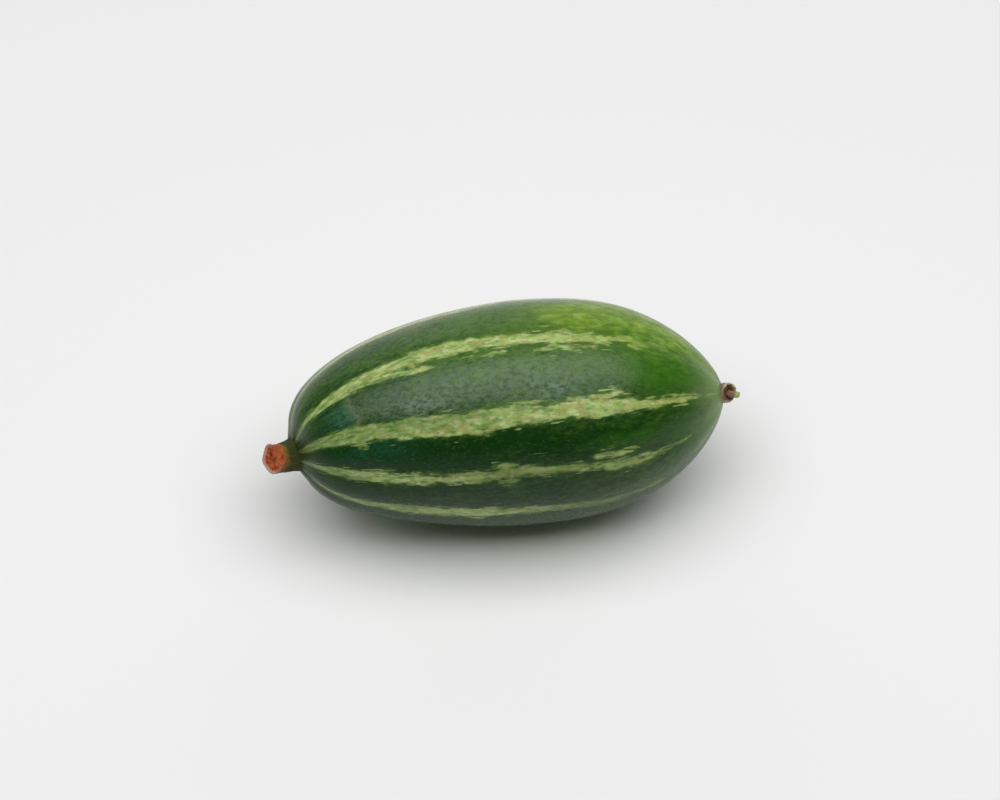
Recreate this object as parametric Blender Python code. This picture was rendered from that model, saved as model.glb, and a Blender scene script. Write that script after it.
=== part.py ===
# A pointed gourd, cut from its vine and lying on its side.
# Metres, +Z up. +X runs from the stalk end to the blossom end.

import math

import bmesh
import bpy
from mathutils import Vector

# Fruit: outline along its length, measured from the widest place
MAX_RADIUS = 0.0198
STALK_LENGTH = 0.0388
BLOSSOM_LENGTH = 0.0367
STALK_TAPER = 1.55
STALK_BLUNTNESS = 0.337
BLOSSOM_TAPER = 2.69
BLOSSOM_BLUNTNESS = 0.673

# Fruit: sideways bend of the middle line, at each end
STALK_BEND = -0.0047
BLOSSOM_BEND = 0.0006
BEND_POWER = 2.7

# Fruit: shallow grooves under the pale stripes, as angles in degrees from the top towards -Y
GROOVE_ANGLES = (0.4, 38.9, 70.5, 101.5, 132.0, 162.0, 198.0, 238.0, 277.5, 316.5)
GROOVE_HALF_WIDTH = 10.0
GROOVE_DEPTH = 0.00016
GROOVE_END_DEPTH = 0.00030
GROOVE_FADE_RADIUS = 0.0080

# Fruit: seats of the stalk and the blossom tip
STALK_SEAT_RADIUS = 0.0029
TIP_SEAT_RADIUS = 0.0019
FRUIT_SIDES = 72
FRUIT_RINGS = 46

# Fruit: depth of the small flat spot it rests on
FLAT_DEPTH = 0.00062

# Stalk stub: radii at its foot, its neck and its cut end
STALK_STUB_LENGTH = 0.0052
STALK_FOOT_RADIUS = 0.0028
STALK_NECK_RADIUS = 0.0025
STALK_CUT_RADIUS = 0.0024
STALK_CUT_HOLLOW = 0.0003
STALK_CUT_DIRECTION = Vector((-0.66, -0.46, 0.59))
STALK_RIDGES = 5
STALK_RIDGE_HEIGHT = 0.00012
STALK_SIDES = 25
STALK_RINGS = 10

# Blossom tip: withered remains of the flower
TIP_LENGTH = 0.0033
TIP_RADIUS = 0.0017
TIP_TAPER = 1.7
TIP_BLUNTNESS = 0.75
TIP_END_RADIUS = 0.0003
TIP_END_DIRECTION = Vector((0.88, -0.34, 0.33))
TIP_SIDES = 20
TIP_RINGS = 8

# Clear gap between touching pieces
SEAT_GAP = 0.0003
SHARP_ANGLE = math.radians(38.0)
DIRECTION_STEP = 0.0005
UP = Vector((0.0, 0.0, 1.0))

# Colours, in linear light
SKIN_COLOUR = (0.06, 0.16, 0.05)
STALK_COLOUR = (0.36, 0.13, 0.05)
BLOSSOM_COLOUR = (0.30, 0.15, 0.07)


def clear_scene():
    for item in list(bpy.data.objects):
        bpy.data.objects.remove(item, do_unlink=True)


def fruit_radius(u):
    """Radius at u: -1 is the stalk end, 0 the widest place and 1 the blossom end."""
    if u < 0.0:
        taper, bluntness = STALK_TAPER, STALK_BLUNTNESS
    else:
        taper, bluntness = BLOSSOM_TAPER, BLOSSOM_BLUNTNESS
    return MAX_RADIUS * (1.0 - abs(u) ** taper) ** bluntness


def seat_position(radius, taper, bluntness):
    """Distance |u| at which an end of the fruit has narrowed to a seat's radius."""
    return (1.0 - (radius / MAX_RADIUS) ** (1.0 / bluntness)) ** (1.0 / taper)


def fruit_centre(u):
    """Point of the middle line, which bends sideways towards the ends."""
    if u < 0.0:
        length, bend = STALK_LENGTH, STALK_BEND
    else:
        length, bend = BLOSSOM_LENGTH, BLOSSOM_BEND
    return Vector((u * length, bend * abs(u) ** BEND_POWER, MAX_RADIUS - FLAT_DEPTH))


def fruit_direction(u):
    """Unit direction of the middle line, towards the blossom end."""
    before = fruit_centre(max(u - DIRECTION_STEP, -1.0))
    after = fruit_centre(min(u + DIRECTION_STEP, 1.0))
    return (after - before).normalized()


def groove_depth(u, angle):
    """Depth of the grooves at one place, deeper near the ends."""
    depth = GROOVE_DEPTH + (GROOVE_END_DEPTH - GROOVE_DEPTH) * u * u
    total = 0.0
    for groove in GROOVE_ANGLES:
        away = (math.degrees(angle) - groove + 180.0) % 360.0 - 180.0
        total += depth * math.exp(-(away / GROOVE_HALF_WIDTH) ** 2)
    return total


def fruit_ring(u):
    """One ring of points round the middle line."""
    centre = fruit_centre(u)
    side = fruit_direction(u).cross(UP).normalized()
    radius = fruit_radius(u)
    fade = min(1.0, radius / GROOVE_FADE_RADIUS)
    points = []
    for step in range(FRUIT_SIDES):
        angle = 2.0 * math.pi * step / FRUIT_SIDES
        reach = radius - fade * groove_depth(u, angle)
        points.append(centre + reach * (math.cos(angle) * UP + math.sin(angle) * side))
    return points


def press_flat(rings):
    """Press the underside flat where the fruit rests."""
    for ring in rings:
        for point in ring:
            point.z = max(point.z, 0.0)


def curved_path(start, first_direction, last_direction, length, fraction):
    """Point and direction on a short curve that turns from one direction to another."""
    corner = start + first_direction * (length / 2.0)
    end = corner + last_direction * (length / 2.0)
    keep = 1.0 - fraction
    point = keep * keep * start + 2.0 * keep * fraction * corner + fraction * fraction * end
    direction = keep * (corner - start) + fraction * (end - corner)
    return point, direction.normalized()


def round_ring(centre, direction, radii):
    """One ring of points across a direction, with a radius for each side."""
    side = direction.cross(UP).normalized()
    top = side.cross(direction).normalized()
    points = []
    for step, radius in enumerate(radii):
        angle = 2.0 * math.pi * step / len(radii)
        points.append(centre + radius * (math.cos(angle) * top + math.sin(angle) * side))
    return points


def stalk_radius(fraction):
    """Smooth curve through the radii of the foot, the neck and the cut end."""
    foot = 2.0 * (fraction - 0.5) * (fraction - 1.0)
    neck = 4.0 * fraction * (1.0 - fraction)
    cut = 2.0 * fraction * (fraction - 0.5)
    return STALK_FOOT_RADIUS * foot + STALK_NECK_RADIUS * neck + STALK_CUT_RADIUS * cut


def stalk_rings(start, first_direction):
    """Rings of the stalk stub, with low ridges along it."""
    rings = []
    last_direction = STALK_CUT_DIRECTION.normalized()
    for index in range(STALK_RINGS + 1):
        fraction = index / STALK_RINGS
        centre, direction = curved_path(
            start, first_direction, last_direction, STALK_STUB_LENGTH, fraction)
        radii = []
        for step in range(STALK_SIDES):
            ridge = math.cos(2.0 * math.pi * STALK_RIDGES * step / STALK_SIDES)
            radii.append(stalk_radius(fraction) + STALK_RIDGE_HEIGHT * ridge)
        rings.append(round_ring(centre, direction, radii))
    return rings


def tip_rings(start, first_direction):
    """Rings of the blossom tip, a short blunt cone."""
    rings = []
    last_direction = TIP_END_DIRECTION.normalized()
    for index in range(TIP_RINGS + 1):
        fraction = index / TIP_RINGS
        centre, direction = curved_path(
            start, first_direction, last_direction, TIP_LENGTH, fraction)
        cone = (1.0 - fraction ** TIP_TAPER) ** TIP_BLUNTNESS
        radius = TIP_END_RADIUS + (TIP_RADIUS - TIP_END_RADIUS) * cone
        rings.append(round_ring(centre, direction, [radius] * TIP_SIDES))
    return rings


def close_end(mesh, ring, centre):
    """Fan of triangles from a ring of vertices to one point."""
    hub = mesh.verts.new(centre)
    for index, vertex in enumerate(ring):
        mesh.faces.new((vertex, ring[(index + 1) % len(ring)], hub))


def solid_from_rings(name, rings, material, first_hollow=0.0, last_hollow=0.0):
    """One closed solid over a row of rings, with its ends closed."""
    mesh = bmesh.new()
    loops = [[mesh.verts.new(point) for point in ring] for ring in rings]
    for near, far in zip(loops, loops[1:]):
        for index in range(len(near)):
            after = (index + 1) % len(near)
            mesh.faces.new((near[index], near[after], far[after], far[index]))
    middles = [sum(ring, Vector()) / len(ring) for ring in rings]
    inward_first = (middles[1] - middles[0]).normalized()
    inward_last = (middles[-2] - middles[-1]).normalized()
    close_end(mesh, loops[0], middles[0] + inward_first * first_hollow)
    close_end(mesh, loops[-1], middles[-1] + inward_last * last_hollow)
    bmesh.ops.recalc_face_normals(mesh, faces=mesh.faces)
    data = bpy.data.meshes.new(name)
    mesh.to_mesh(data)
    mesh.free()
    data.shade_smooth()
    data.set_sharp_from_angle(angle=SHARP_ANGLE)
    data.materials.append(material)
    solid = bpy.data.objects.new(name, data)
    bpy.context.scene.collection.objects.link(solid)
    return solid


def make_material(name, colour, roughness):
    material = bpy.data.materials.new(name)
    material.use_nodes = True
    shader = material.node_tree.nodes["Principled BSDF"]
    shader.inputs["Base Color"].default_value = (*colour, 1.0)
    shader.inputs["Roughness"].default_value = roughness
    shader.inputs["Metallic"].default_value = 0.0
    return material


def make_gourd():
    """Fruit body, from the stalk's seat to the blossom tip's seat."""
    first = math.acos(seat_position(STALK_SEAT_RADIUS, STALK_TAPER, STALK_BLUNTNESS))
    last = math.acos(seat_position(TIP_SEAT_RADIUS, BLOSSOM_TAPER, BLOSSOM_BLUNTNESS))
    sweep = math.pi - first - last
    rings = []
    for index in range(FRUIT_RINGS + 1):
        rings.append(fruit_ring(-math.cos(first + sweep * index / FRUIT_RINGS)))
    press_flat(rings)
    return solid_from_rings("gourd", rings, make_material("skin", SKIN_COLOUR, 0.4))


def make_stalk():
    """Cut stalk stub on the blunt end."""
    u = -seat_position(STALK_SEAT_RADIUS, STALK_TAPER, STALK_BLUNTNESS)
    outward = -fruit_direction(u)
    rings = stalk_rings(fruit_centre(u) + outward * SEAT_GAP, outward)
    material = make_material("cut_stalk", STALK_COLOUR, 0.7)
    return solid_from_rings("stalk", rings, material, last_hollow=STALK_CUT_HOLLOW)


def make_blossom_tip():
    """Withered blossom remains on the pointed end."""
    u = seat_position(TIP_SEAT_RADIUS, BLOSSOM_TAPER, BLOSSOM_BLUNTNESS)
    outward = fruit_direction(u)
    rings = tip_rings(fruit_centre(u) + outward * SEAT_GAP, outward)
    material = make_material("withered_blossom", BLOSSOM_COLOUR, 0.8)
    return solid_from_rings("blossom_tip", rings, material)


def place_on_origin(solids):
    """Hold the pieces under one empty, so that the whole stands over the origin."""
    points = [vertex.co for solid in solids for vertex in solid.data.vertices]
    middle_x = (min(p.x for p in points) + max(p.x for p in points)) / 2.0
    middle_y = (min(p.y for p in points) + max(p.y for p in points)) / 2.0
    holder = bpy.data.objects.new("placing", None)
    bpy.context.scene.collection.objects.link(holder)
    holder.location = (-middle_x, -middle_y, 0.0)
    for solid in solids:
        solid.parent = holder


def main():
    clear_scene()
    place_on_origin([make_gourd(), make_stalk(), make_blossom_tip()])
    bpy.context.view_layer.update()


main()
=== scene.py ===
# Looks of the pointed gourd: ribbed striped skin, cut stalk and withered blossom tip.
# Metres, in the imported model's frame, with +X from the stalk end to the blossom end. Reliefs,
# turned profiles, stripe widths and noise sizes are in millimetres.

import math

import bpy
import numpy as np
from mathutils import Matrix, Vector


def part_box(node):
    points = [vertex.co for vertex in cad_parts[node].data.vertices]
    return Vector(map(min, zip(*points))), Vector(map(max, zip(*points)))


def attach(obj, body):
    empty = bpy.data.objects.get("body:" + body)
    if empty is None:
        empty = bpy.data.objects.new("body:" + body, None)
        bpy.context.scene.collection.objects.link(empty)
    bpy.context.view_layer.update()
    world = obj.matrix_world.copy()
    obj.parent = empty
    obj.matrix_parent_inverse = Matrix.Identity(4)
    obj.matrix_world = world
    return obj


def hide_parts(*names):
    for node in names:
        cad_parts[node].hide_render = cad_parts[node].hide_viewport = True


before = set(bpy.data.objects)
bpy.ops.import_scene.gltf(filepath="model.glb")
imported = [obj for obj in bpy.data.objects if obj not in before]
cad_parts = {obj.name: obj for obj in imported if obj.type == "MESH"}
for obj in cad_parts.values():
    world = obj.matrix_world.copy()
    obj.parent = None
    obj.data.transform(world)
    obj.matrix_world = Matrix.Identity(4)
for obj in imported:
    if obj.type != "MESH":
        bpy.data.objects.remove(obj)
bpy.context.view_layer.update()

MM = 0.001
UP = np.array([0.0, 0.0, 1.0])
TURN = 2.0 * math.pi

# Fruit: the solid's driving sizes
MAX_RADIUS = 0.0198
STALK_LENGTH = 0.0388
BLOSSOM_LENGTH = 0.0367
STALK_TAPER, STALK_BLUNTNESS = 1.55, 0.337
BLOSSOM_TAPER, BLOSSOM_BLUNTNESS = 2.69, 0.673
STALK_BEND, BLOSSOM_BEND, BEND_POWER = -0.0047, 0.0006, 2.7
FLAT_DEPTH = 0.00062
STALK_SEAT_RADIUS = 0.0029
TIP_SEAT_RADIUS = 0.0019

# Fruit: fine mesh, which runs on under the stalk's foot and the blossom tip
SKIN_SIDES = 360
SKIN_RINGS = 250
SKIN_STALK_HOLE = 0.0012
SKIN_TIP_HOLE = 0.0008

# Stripes, each as the angle of its middle (degrees from the top towards -Y) and its half
# width (mm) at the places along the fruit named first; below zero it breaks up and ends
STRIPE_PLACES = (-1.0, -0.8, -0.6, -0.4, -0.2, 0.0, 0.2, 0.4, 0.6, 0.8, 1.0)
STRIPES = (
    ((2.0, 2.5, 1.8, 0.0, 0.5, 0.5, 1.0, 2.0, 2.5, 3.0, 3.0),
     (1.1, 1.5, 1.4, 1.35, 1.4, 1.0, 1.0, 0.9, -0.3, -1.6, -2.0)),
    ((36.5, 37.3, 40.8, 41.7, 41.2, 40.6, 39.9, 40.0, 41.0, 40.2, 40.0),
     (1.5, 1.9, 1.6, 1.95, 1.75, 1.35, 1.4, 1.5, 1.0, 0.7, -1.0)),
    ((64.0, 69.8, 72.5, 73.0, 72.0, 70.0, 70.3, 71.0, 72.5, 73.0, 73.0),
     (1.2, 1.5, 1.1, 0.80, 0.75, 0.45, 0.45, 0.35, 0.1, -0.5, -1.8)),
    ((98.0, 99.3, 99.3, 100.0, 99.8, 97.3, 98.7, 100.3, 102.0, 103.0, 103.0),
     (0.9, 1.1, 1.5, 1.4, 1.4, 0.9, 0.7, 0.7, 0.1, -1.0, -2.0)),
    ((132.0, 131.0, 130.0, 131.5, 132.5, 133.0, 132.0, 131.0, 131.0, 132.0, 132.0),
     (1.1, 1.4, 1.6, 1.5, 1.3, 1.5, 1.6, 1.1, 0.8, 0.1, -1.2)),
    ((162.0, 162.5, 163.0, 162.0, 161.0, 161.5, 163.0, 164.0, 163.0, 162.0, 162.0),
     (1.2, 1.5, 1.4, 1.1, 1.2, 1.4, 1.0, 0.6, 0.1, -0.9, -2.0)),
    ((198.0, 197.0, 198.0, 199.5, 199.0, 198.0, 197.5, 198.0, 199.0, 199.0, 199.0),
     (1.3, 1.7, 1.9, 1.8, 1.9, 1.6, 1.7, 1.5, 1.2, 0.5, -0.8)),
    ((238.0, 239.0, 239.5, 238.0, 237.0, 237.0, 238.0, 239.0, 240.0, 240.0, 240.0),
     (1.0, 1.3, 1.3, 1.2, 1.0, 1.2, 1.3, 0.8, 0.3, -0.4, -1.6)),
    ((277.5, 277.0, 276.0, 277.0, 278.5, 279.0, 278.0, 277.0, 276.5, 277.0, 277.0),
     (1.3, 1.6, 2.0, 1.9, 1.8, 2.0, 1.6, 1.6, 1.3, 0.6, -0.8)),
    ((316.5, 317.5, 318.0, 317.5, 316.5, 315.0, 315.5, 317.5, 318.0, 318.0, 318.0),
     (1.2, 1.6, 1.8, 1.8, 1.5, 1.1, 1.4, 1.5, 0.8, -0.6, -2.0)),
)
# Short pale strands beside the stripes, and one painted highlight: start, end, angle in degrees
# and half width in mm
STRANDS = (
    (-0.64, -0.38, 8.6, 0.30), (-0.30, -0.02, 7.0, 0.05), (-0.42, -0.20, -3.6, 0.25),
    (0.06, 0.40, 7.2, 0.15), (0.14, 0.52, 34.6, 0.55), (-0.10, 0.10, 35.6, 0.30),
    (-0.34, -0.12, 47.0, 0.25), (-0.18, -0.04, 66.0, 0.15), (0.28, 0.52, 66.4, 0.45),
    (0.34, 0.62, 74.5, 0.45), (-0.14, -0.03, 74.6, 0.30), (0.10, 0.42, 138.0, 0.40),
    (-0.50, -0.15, 204.5, 0.40), (0.05, 0.50, 192.0, 0.45), (-0.30, 0.10, 244.0, 0.35),
    (-0.60, -0.25, 284.0, 0.40), (0.10, 0.45, 271.5, 0.40), (-0.35, -0.05, 322.5, 0.30),
    # The first entry on the next line is a painted highlight, a small pale speck below a stripe
    (-0.79, -0.73, 48.5, 0.25), (0.72, 0.85, 39.5, 0.55),
    (0.44, 0.56, -0.5, 0.50), (0.50, 0.62, 4.5, 0.45), (0.60, 0.72, 0.5, 0.30),
    (-0.84, -0.62, 66.2, 0.20),
)
# How much a strand narrows to its ends, and a distance far outside every stripe, in mm
STRAND_TAPER = 1.0
FAR_OUTSIDE = -9.0

# Grooves under the stripes, as the solid has them: angles and half width in degrees
GROOVE_ANGLES = (0.4, 38.9, 70.5, 101.5, 132.0, 162.0, 198.0, 238.0, 277.5, 316.5)
GROOVE_HALF_WIDTH = 10.0
GROOVE_DEPTH = 0.00016
GROOVE_END_DEPTH = 0.00030
GROOVE_FADE_RADIUS = 0.0080

# Relief at the ends, in mm: the radius it follows, its width, its height and its puckers
STALK_COLLAR = (2.9, 1.7, 0.30, 0.07)
TIP_HOLLOW = (2.2, 0.9, -0.12, 0.05)

# Tints at the ends: the radii of the fruit, in mm, between which each fades out
STALK_TINT_FADE = (2.6, 8.5)
TIP_TINT_FADE = (2.0, 14.0)
TIP_COLLAR_FADE = (2.0, 3.2)

# Green between the stripes, from about 0 for dark to 1 for light: the angle of each band's
# middle, then its tone at the stalk end, the widest place and the blossom end; the ends' tones
# are reached at the place named first
BAND_END = 0.9
# The low tones of the bands at 56, 85 and 116 degrees are partly their own dark green and partly
# painted shade
BAND_TONES = (
    (-22.0, 0.42, 0.75, 0.80), (20.0, 0.24, 0.66, 0.68), (56.0, -0.22, 0.04, 0.24),
    (85.0, 0.06, 0.16, 0.46), (116.0, 0.05, 0.15, 0.50), (147.0, 0.40, 0.50, 0.55),
    (180.0, 0.45, 0.60, 0.60), (218.0, 0.30, 0.35, 0.50), (258.0, 0.15, 0.30, 0.45),
    (297.0, 0.40, 0.60, 0.60),
)

# Patches of the skin: place along (-1 to 1), angle, reach along, reach in degrees, strength

# Ripening yellow-green
RIPE_PATCHES = (
    (0.28, -17.0, 0.20, 13.0, 1.0),
    (0.74, -24.0, 0.34, 28.0, 1.3),
    (0.15, 222.0, 0.40, 16.0, 0.9),
    (-0.45, 262.0, 0.30, 12.0, 0.5),
    (0.55, 304.0, 0.30, 14.0, 0.6),
    (0.30, 150.0, 0.30, 10.0, 0.4),
)
# Fresh bright green
LUSH_PATCHES = (
    (0.72, 16.0, 0.26, 20.0, 1.2),
    (0.55, -3.0, 0.20, 8.0, 0.6),
    (0.45, 58.0, 0.22, 8.0, 0.5),
    (0.80, 72.0, 0.20, 26.0, 0.55),
    (0.50, 215.0, 0.40, 20.0, 0.8),
    (0.60, 285.0, 0.35, 16.0, 0.7),
)
# Where the pale stripes are faint, and in one place also dimmed as painted shade
FAINT_PATCHES = (
    (-1.0, 68.0, 0.25, 60.0, 0.4),
    (-0.45, 38.0, 0.50, 9.0, 0.50),
    (-0.10, 71.0, 0.30, 8.0, 0.45),
    (-0.60, 99.0, 0.30, 10.0, 0.42),
    (-0.70, 70.0, 0.25, 8.0, 0.12),
    (0.45, 72.0, 0.50, 12.0, 0.38),
    # This patch dims the stripe at 99 degrees towards the blossom end, partly as painted shade
    (0.40, 99.0, 0.45, 10.0, 0.95),
    (0.70, 2.0, 0.22, 9.0, 0.80),
    (0.40, 163.0, 0.30, 10.0, 0.5),
    (0.45, 239.0, 0.35, 10.0, 0.4),
)
# Grey-green powder and painted sheen: the patches from -16 to 30 degrees, on the top, are painted
# sheen, and the ones from 180 to 297 degrees are powder
BLOOM_AND_SHEEN_PATCHES = (
    (-0.15, 21.0, 0.58, 13.0, 0.55),
    (-0.48, 30.0, 0.15, 5.0, 0.65),
    (0.14, 30.0, 0.14, 5.0, 0.60),
    (-0.90, -16.0, 0.12, 12.0, 0.15),
    (-0.38, -16.0, 0.35, 12.0, 0.28),
    (0.10, 180.0, 0.50, 12.0, 0.50),
    (-0.30, 260.0, 0.40, 13.0, 0.50),
    (0.20, 297.0, 0.45, 14.0, 0.40),
)
# Bluish green
TEAL_PATCHES = (
    (-0.815, 22.0, 0.06, 9.0, 1.0),
    (-0.70, 52.0, 0.16, 6.0, 0.45),
    (0.40, 182.0, 0.30, 12.0, 0.6),
    (-0.60, 300.0, 0.20, 12.0, 0.7),
)
# Small brown blemishes
BLEMISH_PATCHES = ((-0.43, -28.0, 0.035, 2.6, 0.9), (-0.31, -32.0, 0.045, 2.2, 0.8))

# Healed scratches across the skin: place along, its width, middle angle and reach in degrees
SCRATCHES = ((-0.765, 0.017, 21.0, 13.0), (0.34, 0.013, 252.0, 9.0))

# Stalk stub: the sunk part of its foot is a share of its length
STALK_STUB_LENGTH = 0.0050
STALK_SINK = 0.12
STALK_FOOT_RADIUS, STALK_NECK_RADIUS, STALK_CUT_RADIUS = 0.0028, 0.0025, 0.0024
STALK_CUT_DIRECTION = np.array([-0.66, -0.46, 0.59])
STALK_RIDGES = 5
STALK_SIDES = 150
STALK_RINGS = 64
CUT_RINGS = 30
CUT_HUB = 0.02

# Pits of the cut face: distance out as a share of the radius, angle, size and depth
CUT_PITS = (
    (0.42, 90.0, 0.15, 1.0), (0.20, 190.0, 0.24, 0.70), (0.60, 20.0, 0.09, 0.30),
    (0.62, 150.0, 0.10, 0.40), (0.60, 262.0, 0.09, 0.20), (0.58, 318.0, 0.08, 0.20),
)
CUT_PIT_DEPTH = 0.16

# Values that the stalk's colours read: the angle where its rim is palest, how much the reach
# grows over the face, the face's place along the fibres in mm, and the ray on the side
CUT_RIM_ANGLE = 145.0
FACE_REACH = 0.4
FACE_PLACE = 5.2
RAY_ON_SIDE = 1.2

# Blossom tip: (distance out, radius) in mm up the outside, over the rim and into the cup
CUP_LENGTH = 0.0018
CUP_DIRECTION = np.array([0.45, -0.74, 0.50])
CUP_PROFILE = (
    (-0.70, 1.00), (-0.25, 1.40), (0.15, 1.66), (0.60, 1.74), (1.10, 1.76), (1.55, 1.82),
    (1.72, 1.70), (1.56, 1.46), (1.26, 1.26), (0.98, 0.90), (0.88, 0.45), (0.90, 0.02),
)
CUP_PLEATS = 6
CUP_SIDES = 140
CUP_RINGS = 110
# Side of the cup's rim that carries the painted cream highlight, as an angle in degrees
CUP_HIGHLIGHT_ANGLE = -70.0
CUP_FIBRE_LENGTH, CUP_FIBRE_RADIUS = 6.0, 1.5

# Style: where it leaves the cup's middle line, as a share of the cup's length, how far out it
# starts, and its (distance out, radius) in mm
STYLE_ROOT = 0.6
STYLE_PLACE = 0.0007
STYLE_DIRECTION = np.array([0.93, -0.34, -0.14])
STYLE_LENGTH = 0.0018
STYLE_PROFILE = (
    (-0.40, 0.60), (0.10, 0.62), (0.50, 0.56), (0.90, 0.52), (1.30, 0.56), (1.60, 0.46),
    (1.76, 0.26), (1.80, 0.02),
)
STYLE_SIDES = 60
STYLE_RINGS = 60
STYLE_FIBRE_RADIUS = 0.45

# Floor and light: each light's name, place, size and power in watts
FLOOR_REACH = 2.5
FLOOR_WHITE = (0.86, 0.86, 0.86)
LIGHTS = (
    ("overhead", (0.0, -0.04, 0.70), (1.20, 0.66), 6.9),
    ("behind", (0.12, 1.00, 0.38), (2.20, 0.60), 2.8),
)
LIGHT_AIM = (0.0, 0.0, 0.02)
WORLD_BRIGHTNESS = 0.08

# Camera: as the photograph was taken, with angles in degrees, and lens and sensor in mm
CAMERA_AZIMUTH = -6.45
CAMERA_ELEVATION = 50.0
CAMERA_DISTANCE = 0.485
CAMERA_LENS = 100.0
SENSOR_WIDTH = 36.0
PICTURE_WIDTH, PICTURE_HEIGHT = 1000, 800
WIDEST_PLACE_PIXEL = (516.4, 413.2)


def smooth(values, low, high):
    """Rise smoothly from 0 at low to 1 at high."""
    share = np.clip((values - low) / (high - low), 0.0, 1.0)
    return share * share * (3.0 - 2.0 * share)


def unit(vectors):
    """Vectors scaled to a length of 1."""
    return vectors / np.linalg.norm(vectors, axis=-1, keepdims=True)


def wrapped(degrees):
    """Angle brought into -180 to 180 degrees."""
    return (degrees + 180.0) % 360.0 - 180.0


def spread(values, across):
    """Values repeated over the whole grid that they span together with others."""
    return np.broadcast_to(values, np.broadcast_shapes(values.shape, across.shape))


# Form of the fruit

def fruit_radius(u):
    """Radius at u: -1 is the stalk end, 0 the widest place and 1 the blossom end."""
    away = np.abs(u)
    stalk_side = (1.0 - away ** STALK_TAPER) ** STALK_BLUNTNESS
    blossom_side = (1.0 - away ** BLOSSOM_TAPER) ** BLOSSOM_BLUNTNESS
    return MAX_RADIUS * np.where(u < 0.0, stalk_side, blossom_side)


def seat_position(radius, taper, bluntness):
    """Distance |u| at which an end of the fruit has narrowed to a radius."""
    return (1.0 - (radius / MAX_RADIUS) ** (1.0 / bluntness)) ** (1.0 / taper)


def bend_slope(u):
    """Sideways slope of the middle line."""
    slope = np.where(u < 0.0, -STALK_BEND / STALK_LENGTH, BLOSSOM_BEND / BLOSSOM_LENGTH)
    return slope * BEND_POWER * np.abs(u) ** (BEND_POWER - 1.0)


def widest_place():
    """Middle of the widest ring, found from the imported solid's box."""
    low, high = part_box("gourd")
    seat = seat_position(TIP_SEAT_RADIUS, BLOSSOM_TAPER, BLOSSOM_BLUNTNESS)
    lean = math.atan(bend_slope(np.array(seat)))
    reach = seat * BLOSSOM_LENGTH + TIP_SEAT_RADIUS * math.sin(lean)
    return np.array([high[0] - reach, (low[1] + high[1]) / 2.0, MAX_RADIUS - FLAT_DEPTH])


def fruit_centre(u):
    """Points of the middle line, which bends sideways towards the ends."""
    u = np.asarray(u, dtype=float)
    along = np.where(u < 0.0, STALK_LENGTH, BLOSSOM_LENGTH) * u
    aside = np.where(u < 0.0, STALK_BEND, BLOSSOM_BEND) * np.abs(u) ** BEND_POWER
    return widest_place() + np.stack([along, aside, np.zeros_like(u)], axis=-1)


def fruit_direction(u):
    """Unit directions of the middle line, towards the blossom end."""
    u = np.asarray(u, dtype=float)
    return unit(np.stack([np.ones_like(u), bend_slope(u), np.zeros_like(u)], axis=-1))


def distance_round(degrees, angle):
    """Distance round the fruit from an angle, in mm at its widest place."""
    return np.radians(np.abs(wrapped(degrees - angle))) * MAX_RADIUS / MM


def stripe_distance(u, degrees):
    """How far inside the nearest stripe each place is, in mm on the unrolled skin."""
    nearest = np.full(np.broadcast_shapes(u.shape, degrees.shape), FAR_OUTSIDE)
    for middle, half in STRIPES:
        away = distance_round(degrees, np.interp(u, STRIPE_PLACES, middle))
        nearest = np.maximum(nearest, np.interp(u, STRIPE_PLACES, half) - away)
    for start, end, angle, half in STRANDS:
        share = (2.0 * u - start - end) / (end - start)
        away = distance_round(degrees, angle)
        nearest = np.maximum(nearest, half - STRAND_TAPER * share ** 4 - away)
    return nearest


def band_tone(u, degrees):
    """Tone of the green, blended along each band and from one band to the next."""
    ends = BAND_TONES[-1:] + BAND_TONES + BAND_TONES[:1]
    angles = [tone[0] for tone in ends]
    angles[0] -= 360.0
    angles[-1] += 360.0
    turned = (degrees - angles[1]) % 360.0 + angles[1]
    at_stalk, at_widest, at_tip = (
        np.interp(turned, angles, [tone[column] for tone in ends]) for column in (1, 2, 3))
    to_stalk, to_tip = smooth(-u, 0.0, BAND_END), smooth(u, 0.0, BAND_END)
    return at_widest + (at_stalk - at_widest) * to_stalk + (at_tip - at_widest) * to_tip


def groove_relief(u, degrees):
    """Shallow grooves under the stripes, in mm, deeper near the ends."""
    depth = (GROOVE_DEPTH + (GROOVE_END_DEPTH - GROOVE_DEPTH) * u * u) / MM
    fade = np.minimum(1.0, fruit_radius(u) / GROOVE_FADE_RADIUS)
    total = np.zeros_like(u + degrees)
    for groove in GROOVE_ANGLES:
        away = wrapped(degrees - groove) / GROOVE_HALF_WIDTH
        total -= depth * np.exp(-away * away)
    return total * fade


def uneven_relief(u, angle):
    """Slow lumps and hollows of a grown skin, in mm."""
    lumps = 0.07 * np.sin(2.0 * angle + 1.3 + 2.1 * u)
    lumps += 0.05 * np.sin(3.0 * angle - 0.7 - 3.4 * u)
    lumps += 0.035 * np.sin(5.0 * angle + 6.0 * u) * np.cos(4.0 * u - 0.5)
    lumps += 0.02 * np.sin(9.0 * angle - 7.0 * u + 0.8) * np.sin(9.0 * u + 2.0 * angle)
    return lumps


def end_relief(u, angle):
    """Puckers at both ends: on a collar round the stalk and in a hollow at the tip, in mm."""
    radius = fruit_radius(u) / MM
    fold = np.sin(13.0 * angle + 0.6 * np.sin(4.0 * angle)) + 0.5 * np.sin(29.0 * angle + 1.0)
    total = np.zeros_like(u + angle)
    for at_end, relief in ((u < 0.0, STALK_COLLAR), (u > 0.0, TIP_HOLLOW)):
        middle, width, height, puckers = relief
        near = np.where(at_end, np.exp(-((radius - middle) / width) ** 2), 0.0)
        total += near * (height + puckers * fold)
    return total


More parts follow.
